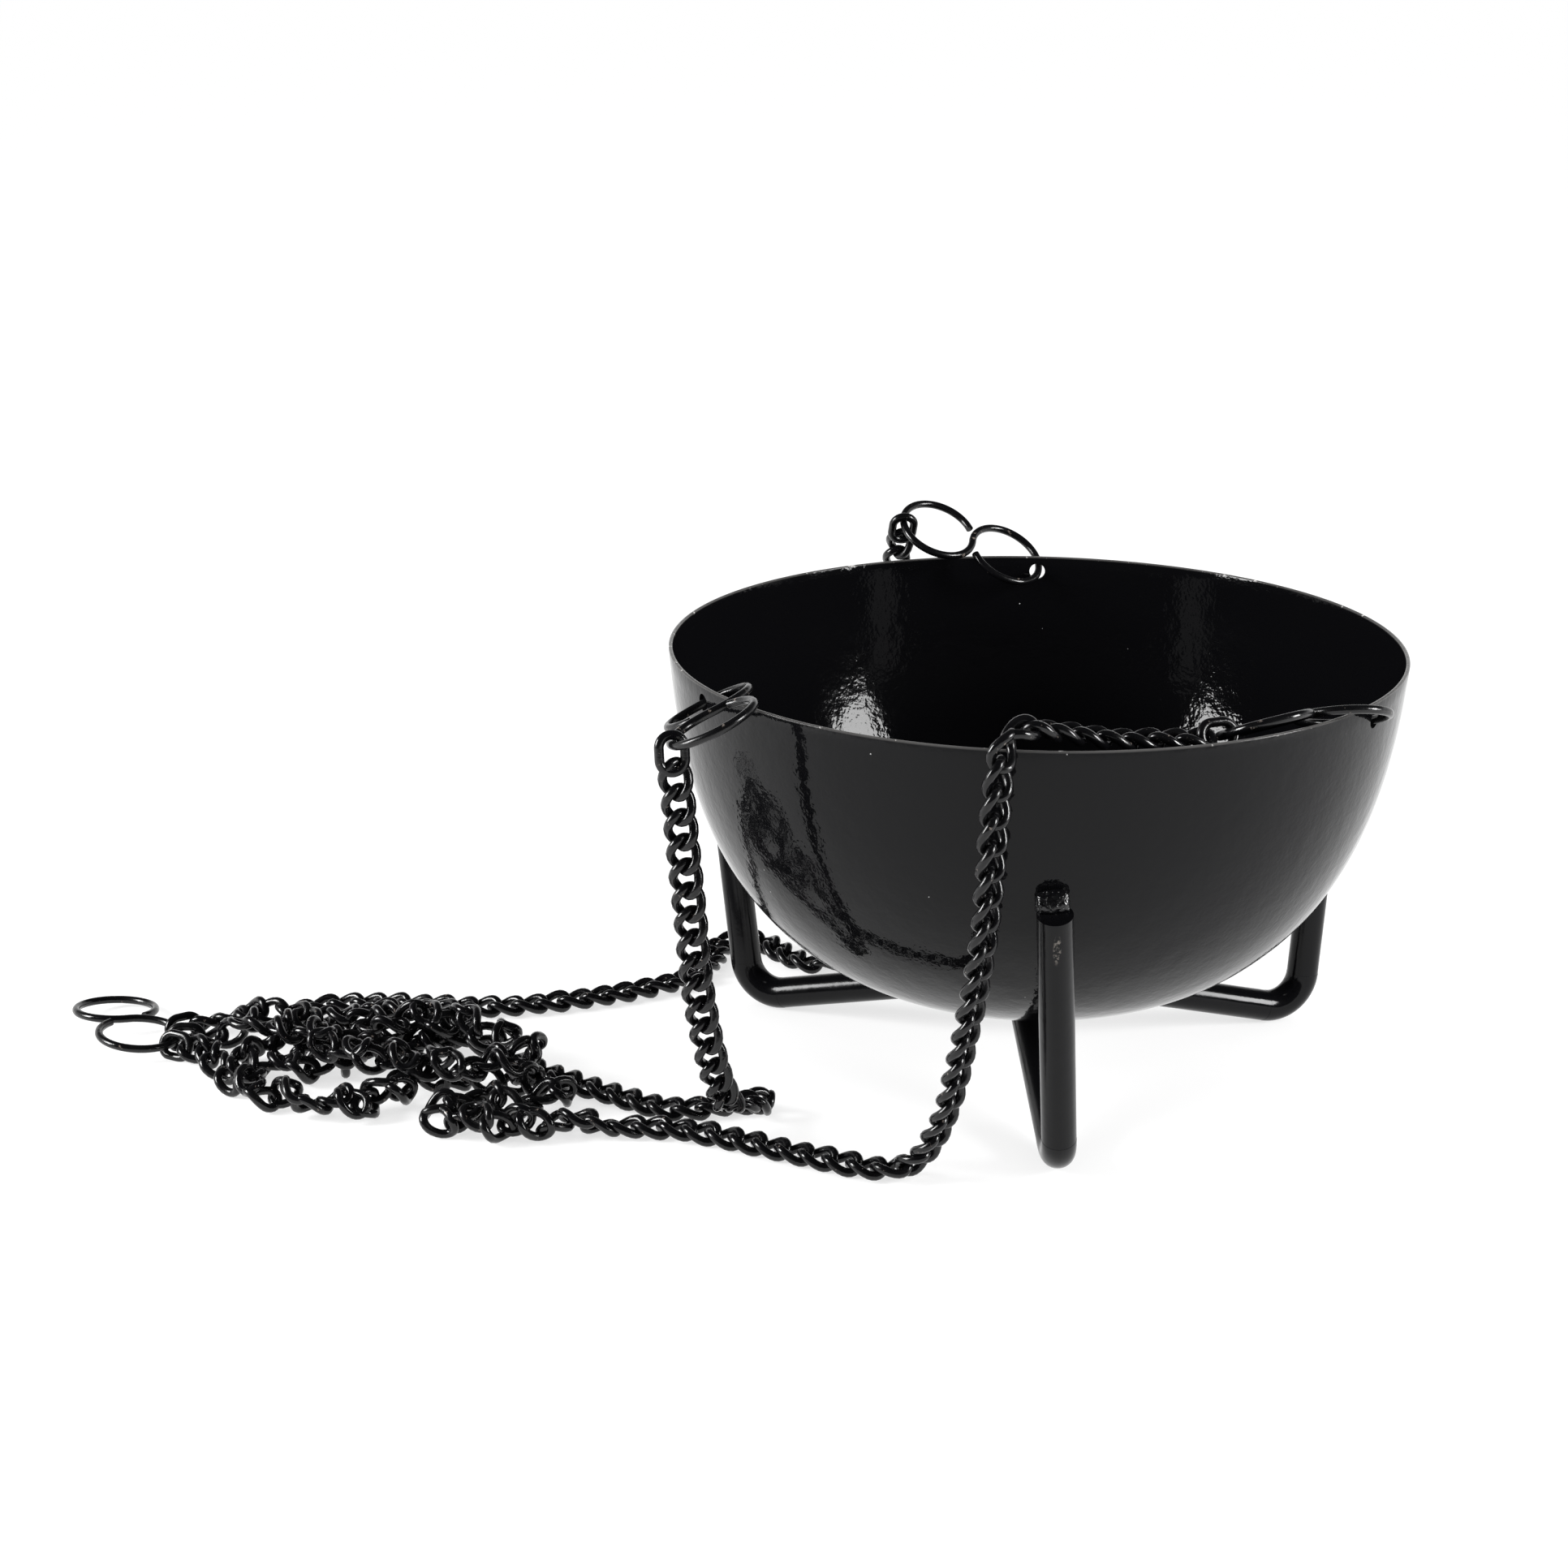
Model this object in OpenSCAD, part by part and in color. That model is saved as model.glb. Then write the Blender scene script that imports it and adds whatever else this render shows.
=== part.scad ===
// Footed steel bowl on three bent-rod legs, with three curb chains on S-hooks.
// The bowl's axis is the Z axis and the surface that it stands on is z = 0.

/* [Bowl] */
// Outer radius of the rim
rim_r = 110; // [80:1:160]
// Height of the rim above the ground
rim_h = 136; // [100:1:200]
// Wall thickness
wall = 1.2; // [0.8:0.1:3]
// Height at which the bowl's curve would be widest
widest_h = 170; // [140:1:220]
// Depth of the curve below its widest level
curve_drop = 142; // [100:1:200]
// Squareness of the curve, 2 for an ellipse
curve_power = 2.77; // [2:0.01:4]
// Diameter of the three rim holes
rim_hole_d = 5.2; // [4:0.1:8]
// Distance of the holes' centres below the rim
rim_hole_drop = 5; // [4:0.5:12]

/* [Legs] */
// Diameter of the round bar
rod_d = 10; // [6:0.5:14]
// Radius of the bend, on the bar's centreline
bend_r = 11; // [8:0.5:20]
// Distance of the bars' inner ends from the bowl's axis
bar_end_r = 16; // [12:1:40]

/* [Chains and hooks] */
// Wire diameter of the S-hooks
hook_wire_d = 2.5; // [1.5:0.1:4]
// Radius of an S-hook's loops, on the wire's centreline
loop_r = 12.5; // [8:0.5:20]
// Part of each loop left open at its tip, in degrees
loop_gap = 28; // [10:1:60]
// Wire diameter of the chain
chain_wire_d = 2.7; // [1.5:0.1:4]
// Outer length of a link
link_l = 13; // [8:0.5:20]
// Outer width of a link
link_w = 9.8; // [6:0.2:16]
// Diameter of the plain tube that stands for a chain
chain_d = 6; // [4:0.5:10]

/* [Hidden] */
$fn = 48;
wire_fn = 24;
black = [0.03, 0.03, 0.035];

// A leg is [azimuth, radius of the bend's centre, outward lean, sideways lean,
// height of the top end, rise of the bar towards the bowl].
leg_front_at = [-82, 75, 16, 5, 90, 18];
leg_left_at = [159, 87.5, 7, 0, 90, 15];
leg_right_at = [24.5, 88.5, 4.5, -2, 83, 15];

// A hook is [place of its waist, rotation, fold between its two loops].
hook_left_at = [[-88.2, -81.7, 135.1], [25.7, -9.3, -81.3], 5];
hook_back_at = [[-22.1, 106, 141.5], [151.8, -23.3, -169.4], -4.5];
hook_right_at = [[73.5, -68.6, 135.4], [25, -7, -155.5], 13];
gather_at = [[-287, -12.6, 5.6], [173, -6, -53], -8];

// A link on a hook's second loop is [angle around the loop, tilt, spin].
link_left_on = [280, -24, 0];
link_back_on = [348, 167, 0];
link_right_on = [0, -95, 0];
end_left_on = [300, -83, 20];
end_right_on = [328, -85, 20];
end_back_on = [268, -83, 20];

hole_azimuths = [-148, 90, -30.5];
bend_swell = 0.1;
bend_joint = 0.5;
curve_steps = 48;
shell_fn = 120;
tube_sides = 8;
seat_gap = 0.2;
weld_d = 9;
weld_inset = 1;
weld_overlap = 2;
drill_l = 16;

floor_z = chain_d / 2 + 0.2;
over_z = floor_z + chain_d + 0.6;

route_left = [
  [-95, -98, 117], [-93, -93, 84], [-91, -86, 50], [-87, -77, 22], [-84, -68, over_z + 1],
  [-79, -62, over_z], [-76, -55, 6], [-84, -50, floor_z], [-102, -56, floor_z],
  [-122, -48, floor_z], [-156, -28, floor_z], [-169, -17, floor_z], [-184, -17, floor_z],
  [-197, -24, floor_z], [-210, -34, floor_z], [-224, -42, floor_z], [-236, -42, floor_z],
  [-241, -34, floor_z], [-232, -28, floor_z], [-218, -25, floor_z], [-206, -19, 6],
  [-192, -17, over_z], [-176, -18, over_z], [-160, -27, over_z], [-149, -38, over_z],
  [-153, -48, over_z], [-168, -50, over_z], [-202, -42, over_z], [-218, -35, over_z],
  [-232, -27, over_z], [-244, -22, over_z], [-252, -21, 5]
];
route_right = [
  [44, -86, 133], [22, -94, 135], [6, -102, 139], [-3, -109, 141], [-7, -114, 137],
  [-9, -117, 120], [-11, -114, 86], [-16, -106, 50], [-22, -98, 22], [-30, -92, 7],
  [-42, -89, floor_z], [-62, -82, floor_z], [-104, -69, floor_z], [-146, -75, floor_z],
  [-161, -78, floor_z], [-170, -72, floor_z], [-162, -65, floor_z], [-146, -61, floor_z],
  [-140, -53, floor_z], [-150, -47, floor_z], [-170, -47, floor_z], [-184, -50, floor_z],
  [-188, -60, floor_z], [-198, -66, floor_z], [-216, -64, floor_z], [-232, -58, floor_z],
  [-246, -44, floor_z], [-254, -33, 5]
];
route_back = [
  [-47, 106, 140], [-50, 112, 122], [-52, 113, 86], [-54, 109, 48], [-57, 100, 20],
  [-60, 86, 7], [-63, 70, floor_z], [-72, 62, floor_z], [-84, 72, floor_z],
  [-94, 82, floor_z], [-104, 78, floor_z], [-107, 62, floor_z], [-112, 46, floor_z],
  [-126, 35, floor_z], [-148, 23, floor_z], [-172, 15, floor_z], [-214, 14, floor_z],
  [-231, 9, floor_z], [-235, 0, floor_z], [-224, -5, floor_z], [-186, -7, floor_z],
  [-178, -3, 7], [-183, 4, over_z], [-200, 4, over_z], [-222, -1, over_z],
  [-244, -5, over_z], [-256, -8, 5]
];

// ---- bowl ----

function curve_scale(r, drop) =
  r / pow(1 - pow((widest_h - rim_h) / drop, curve_power), 1 / curve_power);

// Points of the bowl's curve from its lowest point to the rim.
function bowl_curve(r, drop) =
  let (
    reach = curve_scale(r, drop),
    last = acos(pow((widest_h - rim_h) / drop, curve_power / 2))
  )
  [for (i = [0 : curve_steps])
    let (t = last * i / curve_steps)
    [
      reach * pow(sin(t), 2 / curve_power),
      widest_h - drop * pow(cos(t), 2 / curve_power)
    ]
  ];

function reversed(list) = [for (i = [len(list) - 1 : -1 : 0]) list[i]];

module bowl_blank() {
  rotate_extrude($fn = shell_fn)
    polygon(concat(bowl_curve(rim_r, curve_drop), [[0, rim_h]]));
}

module bowl_shell() {
  color(black)
    difference() {
      rotate_extrude($fn = shell_fn)
        polygon(concat(
          bowl_curve(rim_r, curve_drop),
          reversed(bowl_curve(rim_r - wall, curve_drop - wall))
        ));
      for (azimuth = hole_azimuths)
        rotate([0, 0, azimuth])
          translate([rim_r - drill_l / 2, 0, rim_h - rim_hole_drop])
            rotate([0, 90, 0])
              cylinder(d = rim_hole_d, h = drill_l);
    }
}

// ---- legs ----

module in_leg(at) {
  rotate([0, 0, at[0]])
    translate([0, 0, rod_d / 2])
      rotate([at[3], 0, 0])
        translate([at[1], 0, bend_r])
          children();
}

function upright_l(at) = (at[4] - rod_d / 2 - bend_r * (1 - sin(at[2]))) / cos(at[2]);
function bar_l(at) = (at[1] - bend_r * sin(at[5]) - bar_end_r) / cos(at[5]);

module leg(at) {
  lean = at[2];
  rise = at[5];
  in_leg(at) {
    rotate([90, 0, 0])
      rotate([0, 0, -90 - rise])
        rotate_extrude(angle = 90 + rise - lean)
          translate([bend_r, 0])
            circle(d = rod_d + bend_swell);
    rotate([0, lean, 0])
      translate([bend_r, 0, -bend_joint])
        cylinder(d = rod_d, h = upright_l(at) + bend_joint);
    rotate([0, rise - 90, 0])
      translate([-bend_r, 0, -bend_joint])
        cylinder(d = rod_d, h = bar_l(at) + bend_joint);
  }
}

// A bead laid across the bar's top end, cut to the bar and to the bowl's wall.
module weld_top(at) {
  color(black)
    difference() {
      in_leg(at)
        rotate([0, at[2], 0])
          translate([bend_r - rod_d / 2, weld_d / 2, upright_l(at)])
            rotate([90, 180, 0])
              cylinder(d = weld_d, h = weld_d);
      bowl_blank();
      leg(at);
    }
}

module weld_base(at) {
  color(black)
    difference() {
      in_leg(at)
        rotate([0, at[5] - 90, 0])
          translate([-bend_r + rod_d / 2 - weld_inset, 0, bar_l(at) - weld_overlap])
            sphere(d = weld_d);
      bowl_blank();
      leg(at);
    }
}

module leg_front() {
  color(black) leg(leg_front_at);
}

module leg_left() {
  color(black) leg(leg_left_at);
}

module leg_right() {
  color(black) leg(leg_right_at);
}

module weld_top_front() {
  weld_top(leg_front_at);
}

module weld_top_left() {
  weld_top(leg_left_at);
}

module weld_top_right() {
  weld_top(leg_right_at);
}

module weld_base_front() {
  weld_base(leg_front_at);
}

module weld_base_left() {
  weld_base(leg_left_at);
}

module weld_base_right() {
  weld_base(leg_right_at);
}

// ---- S-hooks ----

module wire_loop() {
  rotate_extrude(angle = 360 - loop_gap)
    translate([loop_r, 0])
      circle(d = hook_wire_d, $fn = wire_fn);
}

module place(at) {
  translate(at[0])
    rotate(at[1])
      children();
}

module s_hook(at) {
  color(black)
    place(at) {
      translate([-loop_r, 0, 0])
        wire_loop();
      rotate([0, at[2], 0])
        translate([loop_r, 0, 0])
          rotate([0, 0, 180])
            wire_loop();
    }
}

module hook_left() {
  s_hook(hook_left_at);
}

module hook_back() {
  s_hook(hook_back_at);
}

module hook_right() {
  s_hook(hook_right_at);
}

module gather_hook() {
  s_hook(gather_at);
}

// ---- links ----

module chain_link() {
  bend = (link_w - chain_wire_d) / 2;
  straight = link_l - link_w;
  for (side = [0, 180])
    rotate([0, side, 0]) {
      translate([0, 0, straight / 2])
        rotate([90, 0, 0])
          rotate_extrude(angle = 180)
            translate([bend, 0])
              circle(d = chain_wire_d, $fn = wire_fn);
      translate([bend, 0, -straight / 2])
        cylinder(d = chain_wire_d, h = straight, $fn = wire_fn);
    }
}

// A link that hangs on the second loop of a hook.
module link_on(hook_at, on) {
  seat = link_l / 2 - chain_wire_d - hook_wire_d / 2 - seat_gap;
  color(black)
    place(hook_at)
      rotate([0, hook_at[2], 0])
        translate([loop_r, 0, 0])
          rotate([0, 0, on[0]])
            translate([loop_r, 0, 0])
              rotate([0, on[1], 0])
                translate([0, 0, -seat])
                  rotate([0, 0, on[2]])
                    chain_link();
}

module link_left() {
  link_on(hook_left_at, link_left_on);
}

module link_back() {
  link_on(hook_back_at, link_back_on);
}

module link_right() {
  link_on(hook_right_at, link_right_on);
}

module end_left() {
  link_on(gather_at, end_left_on);
}

module end_back() {
  link_on(gather_at, end_back_on);
}

module end_right() {
  link_on(gather_at, end_right_on);
}

// ---- chains ----

function unit(v) = v / norm(v);
function tangent(route, i) =
  unit(route[min(i + 1, len(route) - 1)] - route[max(i - 1, 0)]);

// Carries one side direction along the route without twisting it.
function sides_along(route, side, i = 0) =
  i == len(route)
    ? []
    : let (
        t = tangent(route, i),
        next = unit(side - (side * t) * t)
      )
      concat([next], sides_along(route, next, i + 1));

function ring(centre, side, t, d) =
  [for (k = [0 : tube_sides - 1])
    let (a = 360 * k / tube_sides)
    centre + d / 2 * (cos(a) * side + sin(a) * cross(t, side))
  ];

module tube(route, d) {
  sides = sides_along(route, [1, 0, 0]);
  count = len(route);
  points = [for (i = [0 : count - 1])
    each ring(route[i], sides[i], tangent(route, i), d)
  ];
  wall_faces = [for (i = [0 : count - 2])
    for (k = [0 : tube_sides - 1])
      let (
        a = i * tube_sides + k,
        b = i * tube_sides + (k + 1) % tube_sides
      )
      each [[a, b + tube_sides, b], [a, a + tube_sides, b + tube_sides]]
  ];
  start_face = [for (k = [0 : tube_sides - 1]) k];
  end_face = [for (k = [tube_sides - 1 : -1 : 0]) (count - 1) * tube_sides + k];
  polyhedron(points = points, faces = concat([start_face], wall_faces, [end_face]));
}

module chain_left() {
  color(black) tube(route_left, chain_d);
}

module chain_back() {
  color(black) tube(route_back, chain_d);
}

module chain_right() {
  color(black) tube(route_right, chain_d);
}

bowl_shell();
leg_front();
leg_left();
leg_right();
weld_top_front();
weld_top_left();
weld_top_right();
weld_base_front();
weld_base_left();
weld_base_right();
hook_left();
hook_back();
hook_right();
link_left();
link_back();
link_right();
chain_left();
chain_back();
chain_right();
end_left();
end_back();
end_right();
gather_hook();
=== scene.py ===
"""Looks of a footed steel bowl with three curb chains and S-hooks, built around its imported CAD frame."""

import math
import random

import bpy
import numpy as np
from mathutils import Matrix, Vector, noise


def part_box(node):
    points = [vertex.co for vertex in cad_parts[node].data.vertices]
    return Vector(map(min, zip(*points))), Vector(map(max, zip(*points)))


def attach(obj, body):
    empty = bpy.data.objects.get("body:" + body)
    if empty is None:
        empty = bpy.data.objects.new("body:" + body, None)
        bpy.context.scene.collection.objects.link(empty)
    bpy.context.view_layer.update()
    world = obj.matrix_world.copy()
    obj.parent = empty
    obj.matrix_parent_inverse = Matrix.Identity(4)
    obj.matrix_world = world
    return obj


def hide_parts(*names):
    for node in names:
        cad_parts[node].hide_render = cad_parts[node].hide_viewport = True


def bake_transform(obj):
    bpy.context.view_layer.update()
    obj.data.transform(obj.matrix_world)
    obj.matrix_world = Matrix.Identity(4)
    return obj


MM = 0.001

# The camera: its place, its dips and turns in degrees, and its lens for a 36 mm wide sensor.
CAMERA_AT = (0.0, -0.7578, 0.3414)
CAMERA_DIP = 18.4
CAMERA_TURN = 5.71
CAMERA_LENS = 59.63

# Curb chain, in millimetres.
WIRE = 2.7
LINK_LENGTH = 13.0
LINK_WIDTH = 9.8
PITCH = LINK_LENGTH - 2 * WIRE
LINK_TWIST = math.radians(45)
# Below 1, how full a link's ends are beside an ellipse.
LINK_FULLNESS = 0.85
FLOOR_Z = 3.2
OVER_Z = 9.8

ROUTES = {
    "left": [
        (-95, -98, 117), (-93, -93, 84), (-91, -86, 50), (-87, -77, 22), (-84, -68, OVER_Z + 1),
        (-79, -62, OVER_Z), (-76, -55, 6), (-84, -50, FLOOR_Z), (-102, -56, FLOOR_Z),
        (-122, -48, FLOOR_Z), (-156, -28, FLOOR_Z), (-169, -17, FLOOR_Z), (-184, -17, FLOOR_Z),
        (-197, -24, FLOOR_Z), (-210, -34, FLOOR_Z), (-224, -42, FLOOR_Z), (-236, -42, FLOOR_Z),
        (-241, -34, FLOOR_Z), (-232, -28, FLOOR_Z), (-218, -25, FLOOR_Z), (-206, -19, 6),
        (-192, -17, OVER_Z), (-176, -18, OVER_Z), (-160, -27, OVER_Z), (-149, -38, OVER_Z),
        (-153, -48, OVER_Z), (-168, -50, OVER_Z), (-202, -42, OVER_Z), (-218, -35, OVER_Z),
        (-232, -27, OVER_Z), (-244, -22, OVER_Z), (-252, -21, 5),
    ],
    "right": [
        (44, -86, 133), (22, -94, 135), (6, -102, 139), (-3, -109, 141), (-7, -114, 137),
        (-9, -117, 120), (-11, -114, 86), (-16, -106, 50), (-22, -98, 22), (-30, -92, 7),
        (-42, -89, FLOOR_Z), (-62, -82, FLOOR_Z), (-104, -69, FLOOR_Z), (-146, -75, FLOOR_Z),
        (-161, -78, FLOOR_Z), (-170, -72, FLOOR_Z), (-162, -65, FLOOR_Z), (-146, -61, FLOOR_Z),
        (-140, -53, FLOOR_Z), (-150, -47, FLOOR_Z), (-170, -47, FLOOR_Z), (-184, -50, FLOOR_Z),
        (-188, -60, FLOOR_Z), (-198, -66, FLOOR_Z), (-216, -64, FLOOR_Z), (-232, -58, FLOOR_Z),
        (-246, -44, FLOOR_Z), (-254, -33, 5),
    ],
    "back": [
        (-47, 106, 140), (-50, 112, 122), (-52, 113, 86), (-54, 109, 48), (-57, 100, 20),
        (-60, 86, 7), (-63, 70, FLOOR_Z), (-72, 62, FLOOR_Z), (-84, 72, FLOOR_Z),
        (-94, 82, FLOOR_Z), (-104, 78, FLOOR_Z), (-107, 62, FLOOR_Z), (-112, 46, FLOOR_Z),
        (-126, 35, FLOOR_Z), (-148, 23, FLOOR_Z), (-172, 15, FLOOR_Z), (-214, 14, FLOOR_Z),
        (-231, 9, FLOOR_Z), (-235, 0, FLOOR_Z), (-224, -5, FLOOR_Z), (-186, -7, FLOOR_Z),
        (-178, -3, 7), (-183, 4, OVER_Z), (-200, 4, OVER_Z), (-222, -1, OVER_Z),
        (-244, -5, OVER_Z), (-256, -8, 5),
    ],
}
# How far along its route, in millimetres, each chain starts to lie tangled.
TANGLED_FROM = {"left": 235, "right": 290, "back": 395}
# How much a tangled chain strays from its route at random, how wide and how high it coils
# and how long each coil is, in millimetres, and how far its links roll.
CRUMPLE = 3.5
COIL_WIDTH = 2.8
COIL_HEIGHT = {"left": 4.5, "right": 4.0, "back": 0.5}
COIL_LENGTH = 15.5
# How far a tangled chain has slid forward and sunk from its route, in millimetres.
SLID = {"left": (2, 0), "right": (0, 0), "back": (9, 3)}
# Where in the noise each direction's stray is read, so that the three differ.
SWAY_SHIFTS = ((0, 0, 0), (0, 31, 0), (0, 0, 57))
# How much noise a chain strays through in each millimetre, and over what length it starts and ends.
SWAY_SCALE = 0.055
TANGLE_IN = 25
TANGLE_OUT = 30
ROLL = 0.75
# Which way the flat side of each hanging chain faces.
HANGING_FACE = {"left": (0.1, -1, 0), "right": (0.85, -0.75, 0), "back": (0.2, 1, 0)}

# The bowl's curve, in millimetres, as the CAD has it.
RIM_R = 110.0
RIM_H = 136.0
WALL = 1.2
WIDEST_H = 170.0
CURVE_DROP = 142.0
CURVE_POWER = 2.77
HOLE_D = 5.2
HOLE_DROP = 5.0
HOLE_AZIMUTHS = (-148, 90, -30.5)
DRILL_REACH = 8
DRILL_SIDES = 48
LIP_H = 0.35

# The welds, in metres: how far lumps and grain move the bead's surface, and how far it grows.
WELD_VOXEL = 0.00032
WELD_LUMP = 0.00055
WELD_GRAIN = 0.00014
WELD_GROWTH = 0.0002
# How far a top weld is drawn towards a ball, from 0 to 1.
TOP_WELD_ROUNDNESS = 0.45

FLOOR_REACH = 60.0
SHARP_ANGLE = math.radians(40)

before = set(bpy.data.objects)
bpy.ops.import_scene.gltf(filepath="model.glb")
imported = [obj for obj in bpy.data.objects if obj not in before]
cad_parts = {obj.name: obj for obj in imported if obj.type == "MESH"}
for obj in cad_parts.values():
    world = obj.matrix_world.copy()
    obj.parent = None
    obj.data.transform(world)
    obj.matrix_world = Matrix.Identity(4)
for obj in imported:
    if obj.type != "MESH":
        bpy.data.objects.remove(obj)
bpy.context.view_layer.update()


# ---- camera ----


def make_camera():
    data = bpy.data.cameras.new("camera")
    data.sensor_width = 36
    data.lens = CAMERA_LENS
    data.clip_start = 0.01
    data.clip_end = 200
    camera = bpy.data.objects.new("camera", data)
    camera.location = CAMERA_AT
    camera.rotation_euler = (math.radians(90 - CAMERA_DIP), 0, math.radians(CAMERA_TURN))
    bpy.context.scene.collection.objects.link(camera)
    bpy.context.scene.camera = camera


# ---- materials ----


class Nodes:
    """Short calls to add and link the nodes of one material."""

    def __init__(self, name):
        self.material = bpy.data.materials.new(name)
        self.material.use_nodes = True
        self.tree = self.material.node_tree
        self.shader = self.tree.nodes["Principled BSDF"]
        self.place = self.tree.nodes.new("ShaderNodeTexCoord").outputs["Object"]

    def add(self, kind, inputs=(), **values):
        node = self.tree.nodes.new(kind)
        for key, value in values.items():
            setattr(node, key, value)
        for key, value in dict(inputs).items():
            if isinstance(value, bpy.types.NodeSocket):
                self.tree.links.new(value, node.inputs[key])
            else:
                node.inputs[key].default_value = value
        return node

    def noise(self, scale, detail=2.0, roughness=0.5):
        inputs = {"Vector": self.place, "Scale": scale, "Detail": detail, "Roughness": roughness}
        return self.add("ShaderNodeTexNoise", inputs).outputs["Fac"]

    def ramp(self, value, low, high, to_low=0.0, to_high=1.0):
        """Value from low to high, spread smoothly from to_low to to_high."""
        inputs = {"Value": value, 1: low, 2: high, 3: to_low, 4: to_high}
        return self.add("ShaderNodeMapRange", inputs, interpolation_type="SMOOTHSTEP").outputs[0]

    def math(self, operation, a, b=0.0):
        return self.add("ShaderNodeMath", {0: a, 1: b}, operation=operation).outputs[0]

    def mix(self, amount, a, b):
        return self.add("ShaderNodeMix", {0: amount, 6: a, 7: b}, data_type="RGBA").outputs[2]

    def bump(self, height, distance, normal=None, strength=1.0):
        inputs = {"Height": height, "Distance": distance, "Strength": strength}
        if normal is not None:
            inputs["Normal"] = normal
        return self.add("ShaderNodeBump", inputs).outputs["Normal"]

    def finish(self, **inputs):
        for key, value in inputs.items():
            socket = self.shader.inputs[key.replace("_", " ")]
            if isinstance(value, bpy.types.NodeSocket):
                self.tree.links.new(value, socket)
            else:
                socket.default_value = value
        return self.material

    def specks(self, scale, size):
        """1 on small round specks, one for each cell of the scale, and 0 between them."""
        cells = self.add("ShaderNodeTexVoronoi", {"Vector": self.place, "Scale": scale})
        return self.ramp(cells.outputs["Distance"], size, size * 1.6, 1.0, 0.0)


# The one long scratch on the front leg: its middle and how far it reaches, in metres.
SCRATCH_AT = (0.0085, -0.1097, 0.0806)
SCRATCH_REACH = (0.0013, 0.0040, 0.0060)

BLACK = (0.0022, 0.0022, 0.0026, 1)
DUST = (0.42, 0.42, 0.42, 1)
# Pale colour of bare chips on the rim, also used for the painted highlight line along the rim edge.
BARE_AND_RIM_HIGHLIGHT = (0.40, 0.39, 0.38, 1)


def enamel_material():
    """Glossy black coat with orange peel, slow ripples, dust and chips along the rim's edge, and a faint pale
    line along the whole rim edge that is a painted highlight.
    """
    n = Nodes("bowl_enamel")
    peel = n.bump(n.noise(800, 1.0), 0.000045)
    ripple = n.bump(n.noise(180, 1.0), 0.00012, peel)
    height = n.add("ShaderNodeSeparateXYZ", {0: n.place}).outputs["Z"]
    edge = n.ramp(height, RIM_H * MM - 0.0007, RIM_H * MM - 0.0001)
    chips = n.math("MULTIPLY", edge, n.ramp(n.noise(380, 3.0), 0.64, 0.70))
    dust = n.math("MULTIPLY", n.specks(110, 0.018), n.ramp(n.noise(40, 2.0), 0.52, 0.62))
    smear = n.ramp(n.noise(24, 4.0, 0.6), 0.35, 0.75, 0.05, 0.085)
    # Noisy chips are real wear; the faint pale line along the whole rim edge is a painted highlight.
    chips_and_rim_highlight = n.math("MAXIMUM", chips, n.math("MULTIPLY", edge, 0.14))
    colour = n.mix(chips_and_rim_highlight, n.mix(dust, BLACK, DUST), BARE_AND_RIM_HIGHLIGHT)
    return n.finish(Base_Color=colour, Roughness=smear, IOR=1.26, Normal=ripple)


def leg_material():
    """The same coat over round bar, with a few pale scuffs that run along the bar."""
    n = Nodes("leg_paint")
    stretched = n.add("ShaderNodeMapping", {"Vector": n.place, "Scale": (1, 1, 0.22)}).outputs[0]
    streaks = n.add("ShaderNodeTexNoise", {"Vector": stretched, "Scale": 420.0, "Detail": 4.0}).outputs["Fac"]
    place = n.ramp(n.noise(26, 2.0), 0.68, 0.72)
    away = n.add("ShaderNodeVectorMath", {0: n.place, 1: SCRATCH_AT}, operation="SUBTRACT").outputs[0]
    away = n.add("ShaderNodeVectorMath", {0: away, 1: SCRATCH_REACH}, operation="DIVIDE").outputs[0]
    away = n.add("ShaderNodeVectorMath", {0: away}, operation="LENGTH").outputs["Value"]
    scratch = n.math("MULTIPLY", n.ramp(away, 0.5, 1.0, 1.0, 0.0), n.ramp(n.noise(900, 3.0), 0.46, 0.60))
    scuffs = n.math("MAXIMUM", scratch, n.math("MULTIPLY", n.ramp(streaks, 0.56, 0.64), place))
    rough = n.ramp(n.noise(60, 3.0), 0.3, 0.7, 0.12, 0.22)
    normal = n.bump(n.noise(520, 2.0), 0.00003, n.bump(n.noise(140, 1.0), 0.00012))
    colour = n.mix(scuffs, BLACK, (0.11, 0.10, 0.09, 1))
    return n.finish(Base_Color=colour, Roughness=rough, IOR=1.28, Normal=normal)


def weld_material():
    """Lumpy bead under the coat, glossy on its knobs and dull in its pits."""
    n = Nodes("weld_paint")
    lumps = n.noise(700, 3.0, 0.6)
    rough = n.ramp(lumps, 0.35, 0.65, 0.30, 0.10)
    normal = n.bump(n.noise(1800, 2.0), 0.00004, n.bump(lumps, 0.00020))
    pale = n.math("MULTIPLY", n.ramp(n.noise(1300, 2.0), 0.70, 0.76), 0.5)
    return n.finish(Base_Color=n.mix(pale, BLACK, DUST), Roughness=rough, IOR=1.5, Normal=normal)


def wire_material(name, wear, seed_scale):
    """Glossy coated wire with small dents, and bare spots where it rubs."""
    n = Nodes(name)
    rough = n.ramp(n.noise(seed_scale, 2.0), 0.3, 0.7, 0.14, 0.26)
    bare = n.ramp(n.noise(seed_scale * 3, 3.0), 0.78 - wear, 0.84 - wear)
    normal = n.bump(n.noise(900, 2.0), 0.00004, n.bump(n.noise(260, 1.0), 0.00012))
    colour = n.mix(bare, BLACK, (0.10, 0.085, 0.075, 1))
    return n.finish(Base_Color=colour, Roughness=rough, IOR=1.42, Normal=normal)


# ---- meshes ----


def new_mesh(name, points, faces, smooth=True):
    data = bpy.data.meshes.new(name)
    data.from_pydata([tuple(p) for p in points], [], faces)
    data.update()
    if smooth:
        data.polygons.foreach_set("use_smooth", [True] * len(data.polygons))
    obj = bpy.data.objects.new(name, data)
    bpy.context.scene.collection.objects.link(obj)
    return obj


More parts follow.
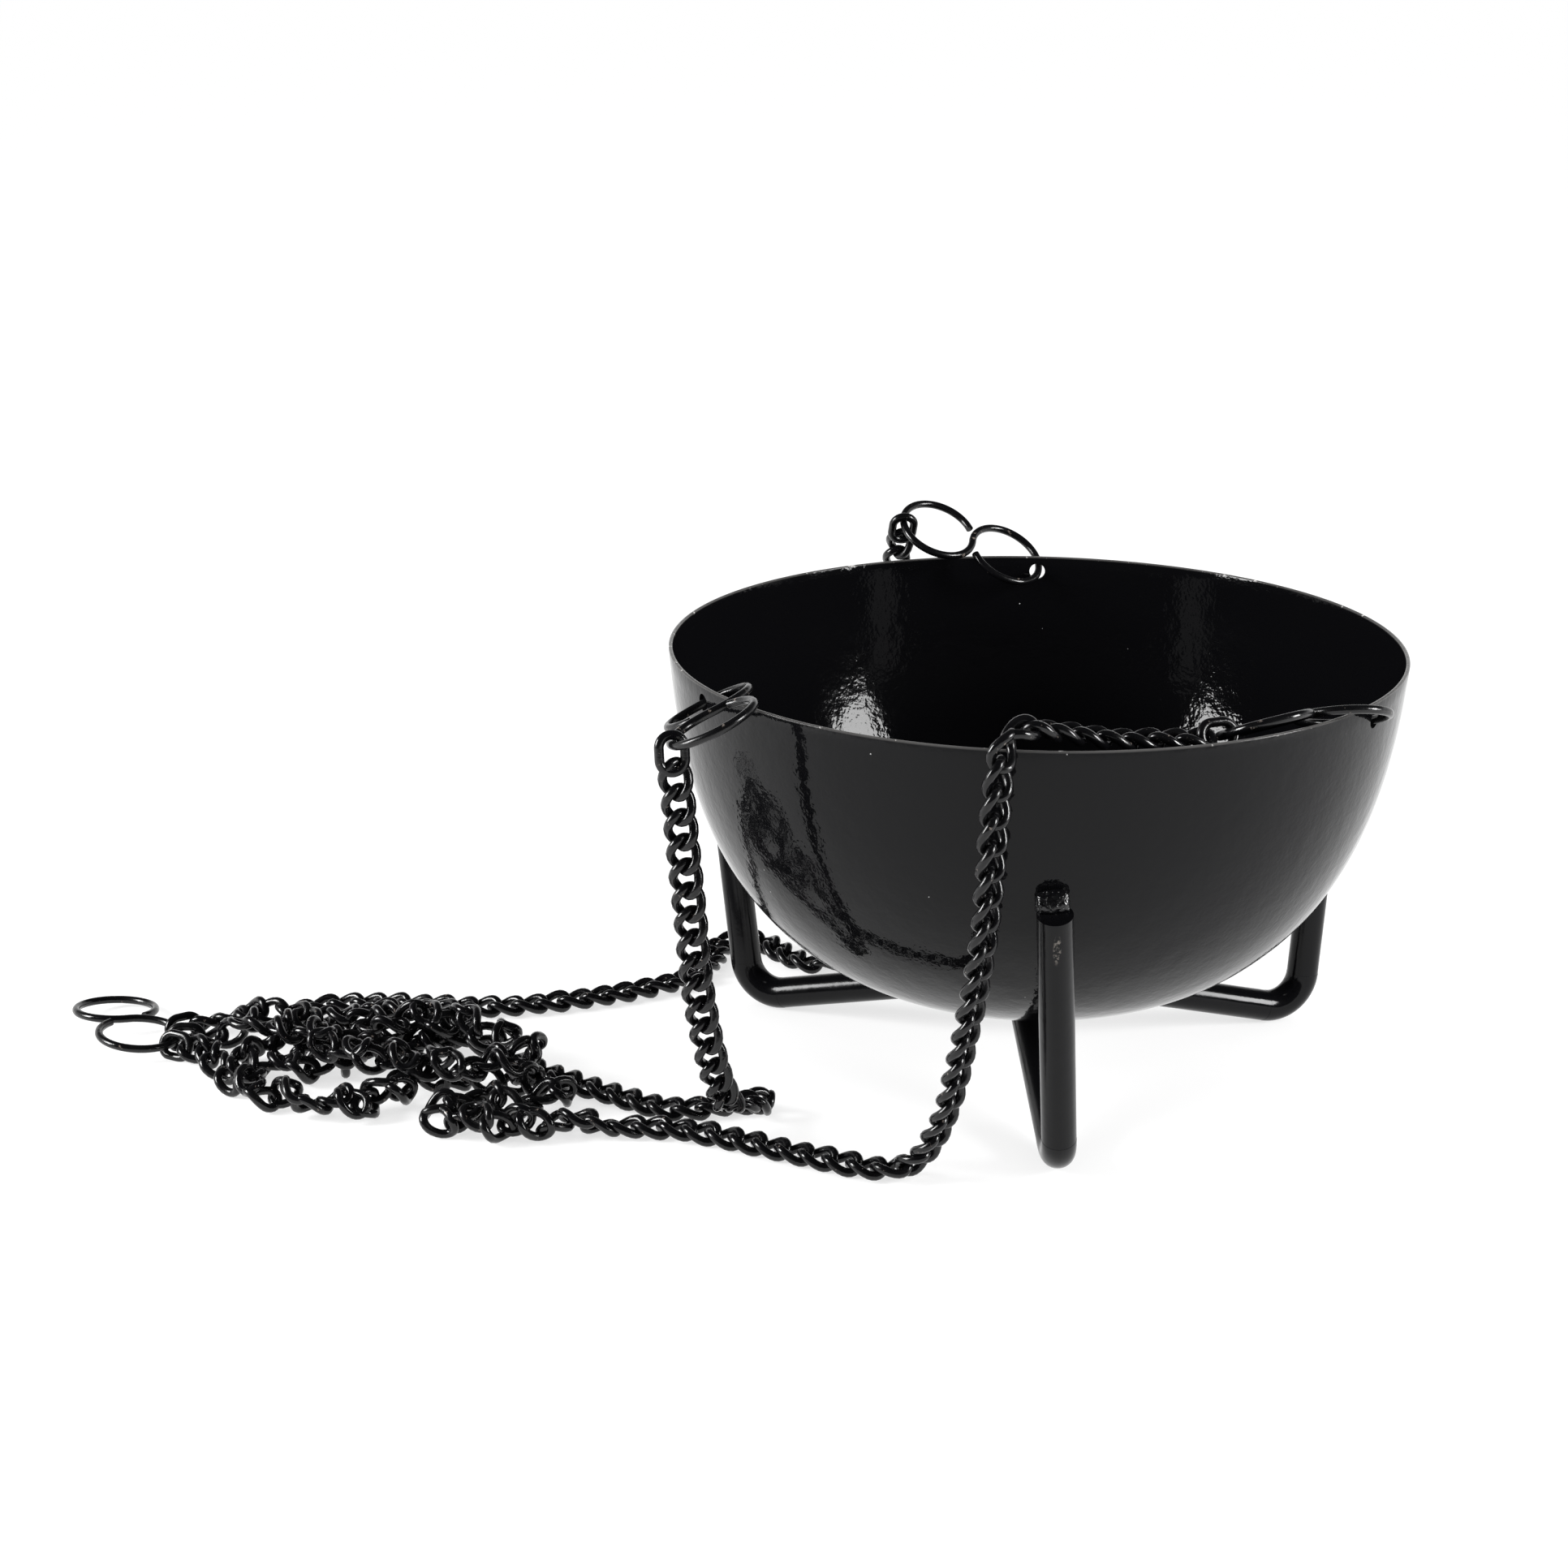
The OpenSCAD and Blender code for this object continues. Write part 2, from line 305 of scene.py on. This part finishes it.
def grid_faces(rings, sides, closed_rings=False):
    """Faces of a tube whose rings follow one another in a list of points."""
    faces = []
    for i in range(rings if closed_rings else rings - 1):
        for k in range(sides):
            a, b = i * sides + k, i * sides + (k + 1) % sides
            c, d = ((i + 1) % rings) * sides + (k + 1) % sides, ((i + 1) % rings) * sides + k
            faces.append((a, b, c, d))
    return faces


def unit(v):
    return v / np.linalg.norm(v, axis=-1, keepdims=True)


# ---- chains ----


def smooth_route(points, step=1.0):
    """A curve through the points, sampled about every step, with its tangents and lengths so far."""
    p = np.array(points, float)
    spans = np.sqrt(np.linalg.norm(np.diff(p, axis=0), axis=1))
    knots = np.concatenate([[0], np.cumsum(spans)])
    before = 2 * p[0] - p[1]
    after = 2 * p[-1] - p[-2]
    q = np.vstack([before, p, after])
    t = np.concatenate([[-spans[0]], knots, [knots[-1] + spans[-1]]])
    line = []
    for i in range(1, len(q) - 2):
        count = max(4, int(np.linalg.norm(q[i + 1] - q[i]) / step))
        for u in np.linspace(t[i], t[i + 1], count, endpoint=False):
            a = [q[j] * (t[j + 1] - u) / (t[j + 1] - t[j]) + q[j + 1] * (u - t[j]) / (t[j + 1] - t[j])
                 for j in (i - 1, i, i + 1)]
            b = [a[j] * (t[i + j + 1] - u) / (t[i + j + 1] - t[i + j - 1])
                 + a[j + 1] * (u - t[i + j - 1]) / (t[i + j + 1] - t[i + j - 1]) for j in (0, 1)]
            line.append(b[0] * (t[i + 1] - u) / (t[i + 1] - t[i]) + b[1] * (u - t[i]) / (t[i + 1] - t[i]))
    line.append(p[-1])
    line = np.array(line)
    lengths = np.concatenate([[0], np.cumsum(np.linalg.norm(np.diff(line, axis=0), axis=1))])
    return line, lengths


def node_centre(node):
    low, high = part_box(node)
    return np.array((low + high) / 2) / MM


def coiled(name):
    """The route from the rim hook's link to the gathering hook's link, coiled where it lies tangled."""
    line, lengths = smooth_route(ROUTES[name], 4.0)
    ahead = unit(np.gradient(line, axis=0))
    rough = [node_centre(f"link_{name}")]
    for p, s, along in zip(line, lengths, ahead):
        amount = min(1.0, max(0.0, (s - TANGLED_FROM[name]) / TANGLE_IN),
                     (lengths[-1] - s) / TANGLE_OUT)
        q = Vector(p) * SWAY_SCALE + Vector((7.3 * len(name), 0, 0))
        sway = np.array([noise.noise(q + Vector(shift)) for shift in SWAY_SHIFTS])
        sway[2] = abs(sway[2])
        turn = 2 * math.pi * s / COIL_LENGTH
        coil = np.array([-along[1], along[0], 0]) * COIL_WIDTH * math.sin(turn)
        coil[2] = COIL_HEIGHT[name] * (0.5 - 0.5 * math.cos(turn))
        slid = np.array([0, -SLID[name][0], -SLID[name][1]])
        placed = p + amount * (CRUMPLE * sway + coil + slid)
        placed[2] = max(placed[2], FLOOR_Z)
        rough.append(placed)
    rough.append(node_centre(f"end_{name}"))
    return rough


def link_shape(turns=30, sides=10):
    """One twisted link around its own centre, along X, and its faces."""
    half_length = (LINK_LENGTH - WIRE) / 2
    half_width = (LINK_WIDTH - WIRE) / 2
    angles = np.linspace(0, 2 * math.pi, turns, endpoint=False)
    x = half_length * np.sign(np.cos(angles)) * np.abs(np.cos(angles)) ** LINK_FULLNESS
    y = half_width * np.sin(angles)
    twist = LINK_TWIST * x / half_length
    centre = np.stack([x, y * np.cos(twist), y * np.sin(twist)], 1)
    tangent = unit(np.roll(centre, -1, 0) - np.roll(centre, 1, 0))
    out = unit(centre * np.array([0.35, 1, 1]) + 1e-9)
    side = unit(out - np.sum(out * tangent, 1, keepdims=True) * tangent)
    other = np.cross(tangent, side)
    points = [centre[i] + WIRE / 2 * (math.cos(a) * side[i] + math.sin(a) * other[i])
              for i in range(turns) for a in np.linspace(0, 2 * math.pi, sides, endpoint=False)]
    return np.array(points), grid_faces(turns, sides, closed_rings=True)


def make_chain(name):
    """A curb chain of separate twisted links along its route, whose top starts at its rim hook's link."""
    rng = random.Random(name)
    line, lengths = smooth_route(coiled(name))
    shape, link_faces = link_shape()
    count = round(lengths[-1] / PITCH) - 1
    step = lengths[-1] / (count + 1)
    points, faces, roll = [], [], 0.0
    for i in range(count):
        s = (i + 1) * step
        at = np.array([np.interp(s, lengths, line[:, k]) for k in range(3)])
        ahead = np.array([np.interp(s + PITCH / 2, lengths, line[:, k]) for k in range(3)])
        behind = np.array([np.interp(s - PITCH / 2, lengths, line[:, k]) for k in range(3)])
        along = unit(ahead - behind)
        upright = min(1.0, max(0.0, (abs(along[2]) - 0.25) / 0.4))
        face = (1 - upright) * np.array([0, 0, 1.0]) + upright * np.array(HANGING_FACE[name])
        tangled = min(1.0, max(0.0, (s - TANGLED_FROM[name]) / 30))
        roll = 0.6 * roll + tangled * rng.uniform(-1, 1)
        lean = roll * ROLL + rng.uniform(-0.10, 0.10)
        flat = unit(face - np.dot(face, along) * along)
        across = np.cross(flat, along)
        flat, across = (math.cos(lean) * flat + math.sin(lean) * across,
                        math.cos(lean) * across - math.sin(lean) * flat)
        placed = at + shape[:, :1] * along + shape[:, 1:2] * across + shape[:, 2:] * flat
        lowest = placed[:, 2].min()
        if lowest < 0.1 or at[2] < FLOOR_Z + 0.5:
            placed[:, 2] += 0.1 - lowest
        faces += [tuple(v + len(points) for v in f) for f in link_faces]
        points += list(placed)
    chain = new_mesh(f"curb_chain_{name}", np.array(points) * MM, faces)
    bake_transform(chain)
    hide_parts(f"chain_{name}")
    return chain


# ---- bowl ----


def curve_point(r, drop, t):
    reach = r / (1 - ((WIDEST_H - RIM_H) / drop) ** CURVE_POWER) ** (1 / CURVE_POWER)
    return reach * math.sin(t) ** (2 / CURVE_POWER), WIDEST_H - drop * math.cos(t) ** (2 / CURVE_POWER)


def bowl_profile(r, drop, steps=72):
    last = math.acos(((WIDEST_H - RIM_H) / drop) ** (CURVE_POWER / 2))
    return [curve_point(r, drop, last * (i / steps) ** 1.35) for i in range(steps + 1)]


def make_bowl():
    """The shell turned from its profile, with a rounded lip and three drilled rim holes."""
    outer = bowl_profile(RIM_R, CURVE_DROP)
    inner = bowl_profile(RIM_R - WALL, CURVE_DROP - WALL)
    lip = []
    for k in range(1, 8):
        a = math.pi * k / 8
        lip.append((RIM_R - WALL / 2 + WALL / 2 * math.cos(a), RIM_H - LIP_H + LIP_H * math.sin(a)))
    outer[-1] = (outer[-1][0], RIM_H - LIP_H)
    inner[-1] = (inner[-1][0], RIM_H - LIP_H)
    profile = outer[1:] + lip + inner[:0:-1]
    turns = 288
    points = [(0, 0, outer[0][1]), (0, 0, inner[0][1])]
    for k in range(turns):
        a = 2 * math.pi * k / turns
        points += [(r * math.cos(a), r * math.sin(a), z) for r, z in profile]
    size = len(profile)
    faces = []
    for k in range(turns):
        a, b = 2 + k * size, 2 + ((k + 1) % turns) * size
        faces += [(a + i, b + i, b + i + 1, a + i + 1) for i in range(size - 1)]
        faces += [(0, b, a), (1, a + size - 1, b + size - 1)]
    bowl = new_mesh("bowl", np.array(points) * MM, faces)
    for azimuth in HOLE_AZIMUTHS:
        turn = Matrix.Rotation(math.radians(azimuth), 4, "Z") @ Matrix.Rotation(math.pi / 2, 4, "Y")
        height = (RIM_H - HOLE_DROP) * MM
        ring = [turn @ Vector((HOLE_D / 2 * MM * math.cos(a), HOLE_D / 2 * MM * math.sin(a), x))
                for x in ((RIM_R - DRILL_REACH) * MM, (RIM_R + DRILL_REACH) * MM)
                for a in np.linspace(0, 2 * math.pi, DRILL_SIDES, endpoint=False)]
        ring = [p + Vector((0, 0, height)) for p in ring]
        caps = [tuple(range(DRILL_SIDES - 1, -1, -1)), tuple(range(DRILL_SIDES, 2 * DRILL_SIDES))]
        drill = new_mesh("drill", ring, grid_faces(2, DRILL_SIDES) + caps, smooth=False)
        cut = bowl.modifiers.new("hole", "BOOLEAN")
        cut.object = drill
        cut.solver = "EXACT"
        bake_modifiers(bowl)
        bpy.data.objects.remove(drill)
    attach(bowl, "stand")
    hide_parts("bowl_shell")
    return bowl


def shade_smooth(obj):
    obj.data.polygons.foreach_set("use_smooth", [True] * len(obj.data.polygons))
    obj.data.set_sharp_from_angle(angle=SHARP_ANGLE)


def bake_modifiers(obj):
    bpy.context.view_layer.update()
    result = bpy.data.meshes.new_from_object(obj.evaluated_get(bpy.context.evaluated_depsgraph_get()))
    obj.modifiers.clear()
    obj.data = result
    shade_smooth(obj)


# ---- welds ----


def make_weld(node):
    """A lumpy bead on the place of the CAD's bead, grown a little over its neighbours."""
    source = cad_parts[node]
    weld = bpy.data.objects.new(f"bead_{node}", source.data.copy())
    bpy.context.scene.collection.objects.link(weld)
    remesh = weld.modifiers.new("remesh", "REMESH")
    remesh.mode = "VOXEL"
    remesh.voxel_size = WELD_VOXEL
    soften = weld.modifiers.new("soften", "SMOOTH")
    soften.iterations = 30
    bake_modifiers(weld)
    mesh = weld.data
    mesh.materials.clear()
    middle = sum((v.co for v in mesh.vertices), Vector()) / len(mesh.vertices)
    size = sum((v.co - middle).length for v in mesh.vertices) / len(mesh.vertices)
    roundness = TOP_WELD_ROUNDNESS if node.startswith("weld_top") else 0.0
    for v in mesh.vertices:
        v.co = v.co.lerp(middle + (v.co - middle).normalized() * size, roundness)
        lump = noise.fractal(v.co * 380, 1.0, 2.0, 3)
        grain = noise.noise(v.co * 1500)
        v.co += v.normal * (WELD_LUMP * lump + WELD_GRAIN * grain + WELD_GROWTH)
    mesh.update()
    mesh.polygons.foreach_set("use_smooth", [True] * len(mesh.polygons))
    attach(weld, "stand")
    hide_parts(node)
    return weld


# ---- room ----


def make_floor():
    """A wide white floor that glows a little, so that it stays pale and takes soft shadows."""
    r = FLOOR_REACH
    floor = new_mesh("floor", [(-r, -r, 0), (r, -r, 0), (r, r, 0), (-r, r, 0)], [(0, 1, 2, 3)], False)
    n = Nodes("floor_white")
    n.finish(Base_Color=(0.34, 0.34, 0.34, 1), Roughness=0.9, Emission_Color=(1, 1, 1, 1),
             Emission_Strength=0.66)
    n.shader.inputs["Specular IOR Level"].default_value = 0
    floor.data.materials.append(n.material)


def make_world():
    """White for the floor's light. The gloss sees it white behind and dark overhead and in front."""
    world = bpy.data.worlds.new("world")
    bpy.context.scene.world = world
    world.use_nodes = True
    nodes, links = world.node_tree.nodes, world.node_tree.links

    def spread(value, low, high, to_low, to_high):
        node = nodes.new("ShaderNodeMapRange")
        node.interpolation_type = "SMOOTHSTEP"
        for k, number in enumerate((low, high, to_low, to_high)):
            node.inputs[k + 1].default_value = number
        links.new(value, node.inputs[0])
        return node.outputs[0]

    direction = nodes.new("ShaderNodeSeparateXYZ")
    links.new(nodes.new("ShaderNodeTexCoord").outputs["Generated"], direction.inputs[0])
    low_down = spread(direction.outputs["Z"], 0.20, 0.50, 1.0, 0.03)
    behind = spread(direction.outputs["Y"], -0.10, 0.35, 0.03, 1.0)
    seen = nodes.new("ShaderNodeMath")
    seen.operation = "MULTIPLY"
    links.new(low_down, seen.inputs[0])
    links.new(behind, seen.inputs[1])
    mix = nodes.new("ShaderNodeMix")
    mix.data_type = "FLOAT"
    mix.inputs[2].default_value = 1.0
    links.new(nodes.new("ShaderNodeLightPath").outputs["Is Glossy Ray"], mix.inputs[0])
    links.new(seen.outputs[0], mix.inputs[3])
    links.new(mix.outputs[0], nodes["Background"].inputs["Strength"])
    nodes["Background"].inputs["Color"].default_value = (1, 1, 1, 1)


def add_light(name, at, target, size, power):
    data = bpy.data.lights.new(name, "AREA")
    data.shape = "RECTANGLE"
    data.size, data.size_y = size
    data.energy = power
    light = bpy.data.objects.new(name, data)
    light.location = at
    light.rotation_euler = (Vector(target) - Vector(at)).to_track_quat("-Z", "Y").to_euler()
    bpy.context.scene.collection.objects.link(light)


# ---- the whole ----


make_camera()
chains = [make_chain(name) for name in ROUTES]
bowl = make_bowl()
welds = [make_weld(n) for n in sorted(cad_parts) if n.startswith("weld_")]

chain_black = wire_material("chain_steel", 0.10, 210)
hook_black = wire_material("hook_wire", 0.12, 150)


def paint(obj, material):
    obj.data.materials.clear()
    obj.data.materials.append(material)


for chain in chains:
    paint(chain, chain_black)
paint(bowl, enamel_material())
weld_black = weld_material()
for weld in welds:
    paint(weld, weld_black)
leg_black = leg_material()
for node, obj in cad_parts.items():
    if obj.hide_render:
        continue
    kind = leg_black if node.startswith("leg") else hook_black if "hook" in node else chain_black
    paint(obj, kind)
    shade_smooth(obj)

make_floor()
make_world()
for name, side in (("left_box", -1), ("right_box", 1)):
    add_light(name, (side * 1.08, -0.31, 0.50), (0, 0, 0.1), (0.36, 0.50), 18)
bpy.context.scene.view_settings.view_transform = "Standard"
